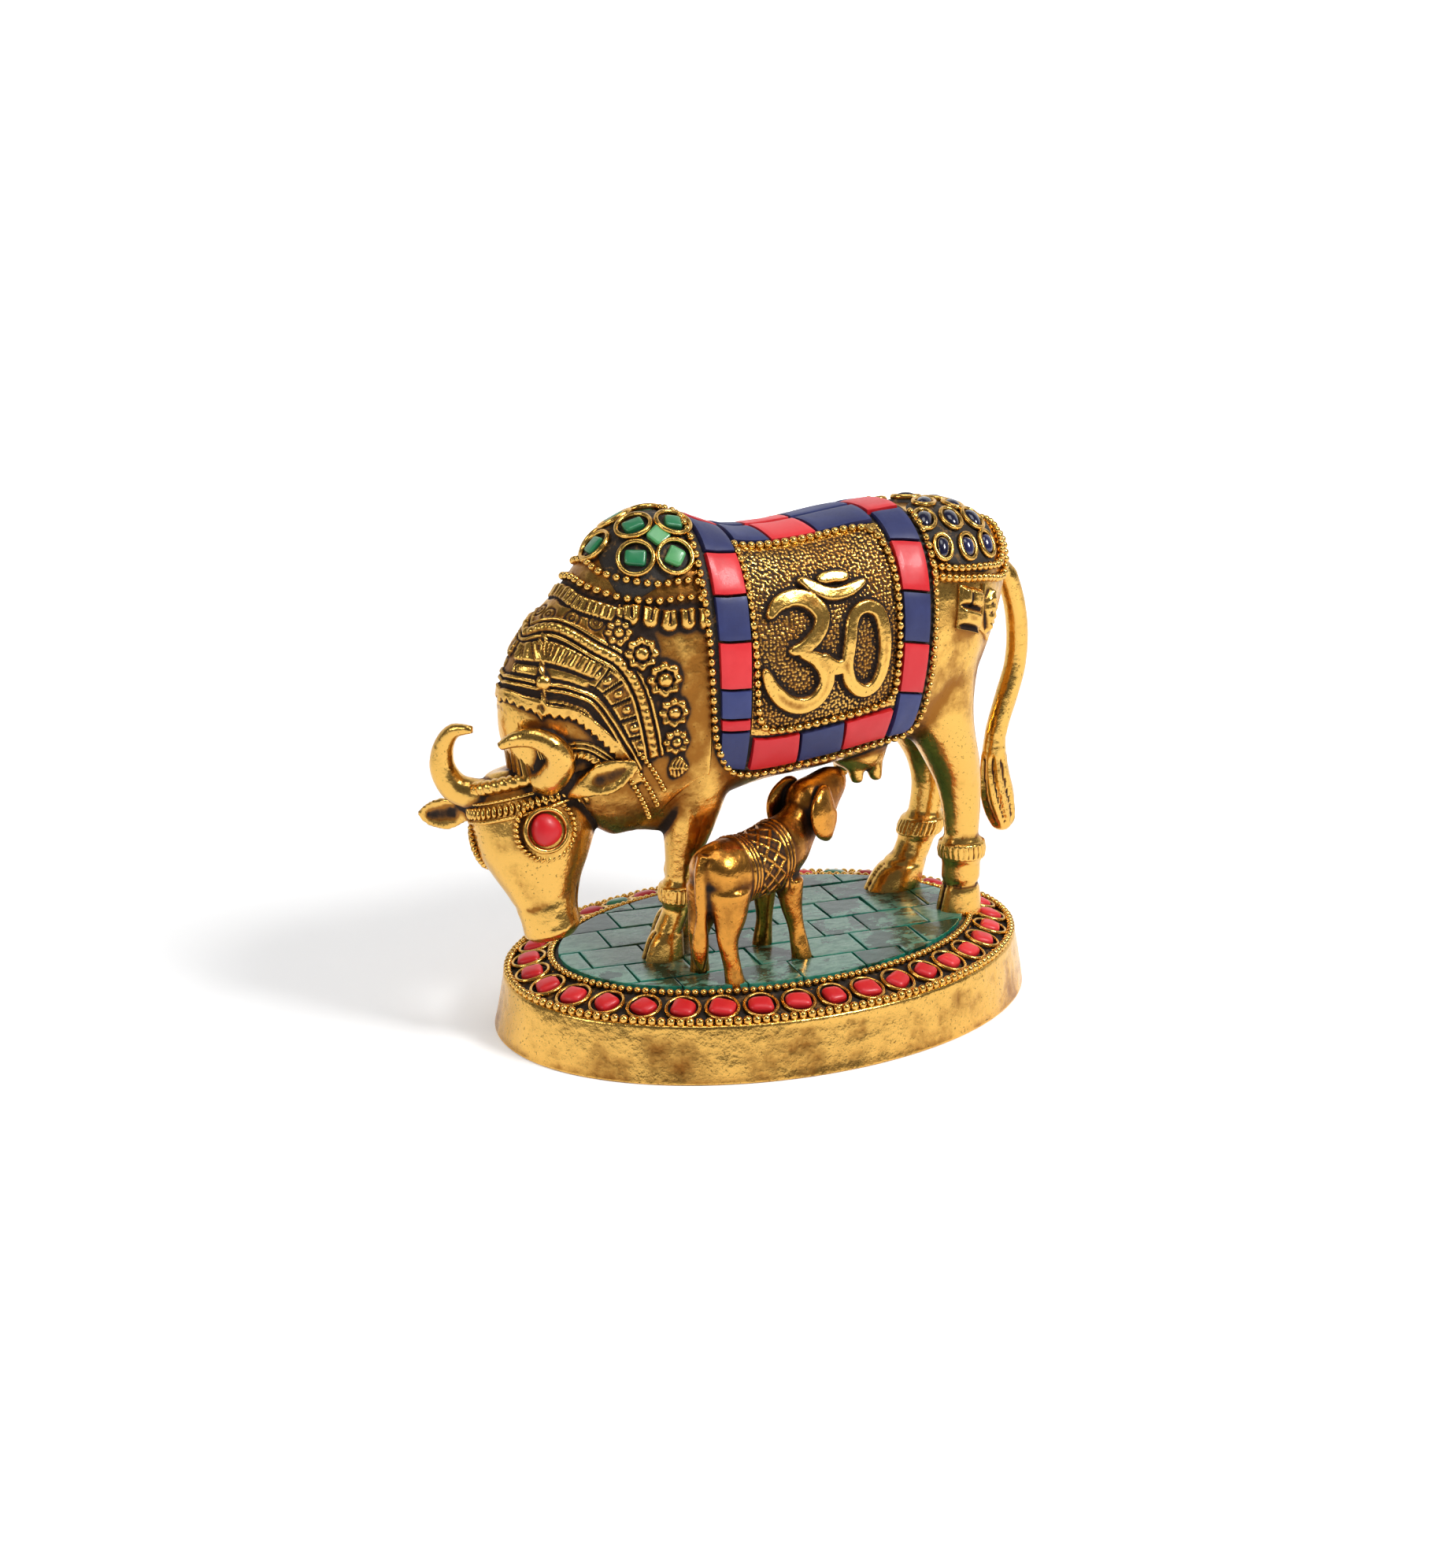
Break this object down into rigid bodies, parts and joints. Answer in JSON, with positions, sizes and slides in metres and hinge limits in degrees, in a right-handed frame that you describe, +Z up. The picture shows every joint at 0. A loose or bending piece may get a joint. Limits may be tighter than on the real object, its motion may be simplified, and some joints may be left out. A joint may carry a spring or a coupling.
{
  "type": "cow and calf statue",
  "caption": "Cast brass figure of a standing cow that lowers her head beside a nursing calf, on an oval plinth, with a tiled saddle cloth, stone inlay and beaded harness.",
  "frame": {"origin": "middle of the oval plinth's flat underside", "axes": "+Z up; the cow faces -X and her tail is towards +X; her left flank, where the calf stands, is on the -Y side"},
  "size_m": [0.1741, 0.1112, 0.1394],
  "materials": {
    "brass": "cast and antiqued, polished on the high spots",
    "dark_brass": "cast, dark patina",
    "coral": "polished red stone",
    "lapis": "polished blue stone",
    "malachite": "polished green stone chips",
    "green_stone": "polished green stone",
    "onyx": "polished dark blue cabochon"
  },
  "bodies": {
    "root": {"plinth": "brass", "coral_ring": "coral", "mosaic_floor": "malachite", "cow": "brass", "calf": "dark_brass", "saddle_tile_left_front_1": "lapis", "saddle_tile_left_front_2": "coral", "saddle_tile_left_front_3": "lapis", "saddle_tile_left_front_4": "coral", "saddle_tile_left_front_5": "lapis", "saddle_tile_left_front_6": "coral", "saddle_tile_left_front_7": "lapis", "saddle_tile_left_rear_1": "lapis", "saddle_tile_left_rear_2": "coral", "saddle_tile_left_rear_3": "lapis", "saddle_tile_left_rear_4": "coral", "saddle_tile_left_rear_5": "lapis", "saddle_tile_left_hem_1": "coral", "saddle_tile_left_back_1": "lapis", "saddle_tile_left_hem_2": "lapis", "saddle_tile_left_back_2": "coral", "saddle_tile_left_hem_3": "coral", "saddle_tile_left_back_3": "lapis", "saddle_tile_right_front_1": "lapis", "saddle_tile_right_front_2": "coral", "saddle_tile_right_front_3": "lapis", "saddle_tile_right_front_4": "coral", "saddle_tile_right_front_5": "lapis", "saddle_tile_right_front_6": "coral", "saddle_tile_right_front_7": "lapis", "saddle_tile_right_rear_1": "lapis", "saddle_tile_right_rear_2": "coral", "saddle_tile_right_rear_3": "lapis", "saddle_tile_right_rear_4": "coral", "saddle_tile_right_rear_5": "lapis", "saddle_tile_right_hem_1": "coral", "saddle_tile_right_back_1": "lapis", "saddle_tile_right_hem_2": "lapis", "saddle_tile_right_back_2": "coral", "saddle_tile_right_hem_3": "coral", "saddle_tile_right_back_3": "lapis", "saddle_tile_ridge_front": "coral", "saddle_tile_ridge_rear": "coral", "hump_stone_left_1": "green_stone", "hump_stone_left_2": "green_stone", "hump_stone_left_3": "green_stone", "hump_stone_left_4": "green_stone", "rump_stone_left_1": "onyx", "rump_stone_left_2": "onyx", "rump_stone_left_3": "onyx", "hump_stone_right_1": "green_stone", "hump_stone_right_2": "green_stone", "hump_stone_right_3": "green_stone", "hump_stone_right_4": "green_stone", "rump_stone_right_1": "onyx", "rump_stone_right_2": "onyx", "rump_stone_right_3": "onyx", "hump_stone_middle": "green_stone", "eye_stone_left": "coral", "eye_stone_right": "coral"}
  },
  "joints": []
}
